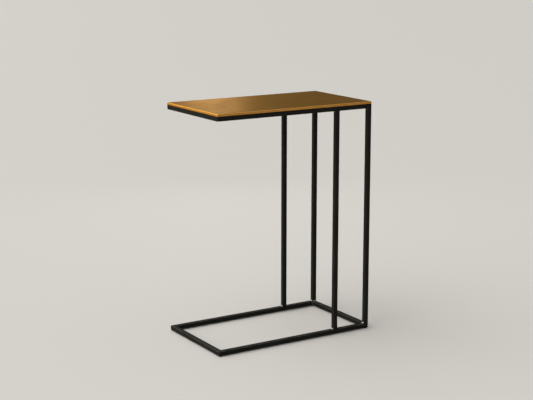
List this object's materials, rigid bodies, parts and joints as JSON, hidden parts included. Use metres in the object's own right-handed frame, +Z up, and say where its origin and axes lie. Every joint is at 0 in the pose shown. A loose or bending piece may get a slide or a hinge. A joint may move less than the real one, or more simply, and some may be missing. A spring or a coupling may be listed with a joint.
{
  "type": "c-shaped side table",
  "caption": "C-shaped side table: a brass top on a black welded tube frame that is open at one end, so its base slides under a sofa or bed.",
  "frame": {"origin": "on the floor, below the middle of the top", "axes": "+Z up, +X along the table from its open end to its posts, +Y across it from the near side to the far side"},
  "size_m": [0.46, 0.26, 0.612],
  "materials": {
    "frame": "satin black powder coat",
    "welds": "weld beads under satin black powder coat",
    "table_top": "antique brass, softly streaked, brighter on its rounded edge",
    "screws": "zinc plated",
    "glides": "matt black"
  },
  "bodies": {
    "root": {"base_rail_near": "frame", "base_rail_far": "frame", "base_rail_open_end": "frame", "base_rail_back": "frame", "top_rail_near": "frame", "top_rail_far": "frame", "top_rail_open_end": "frame", "top_rail_back": "frame", "post_near_mid": "frame", "post_far_mid": "frame", "post_near_back": "frame", "post_far_back": "frame", "fixing_tab_near_open_end": "frame", "fixing_tab_near_back": "frame", "fixing_tab_far_open_end": "frame", "fixing_tab_far_back": "frame", "base_corner_welds": "welds", "top_corner_welds": "welds", "post_foot_welds": "welds", "post_head_welds": "welds", "table_top": "table_top", "top_screws": "screws", "glide_near_open_end": "glides", "glide_near_back": "glides", "glide_far_open_end": "glides", "glide_far_back": "glides"}
  },
  "joints": []
}
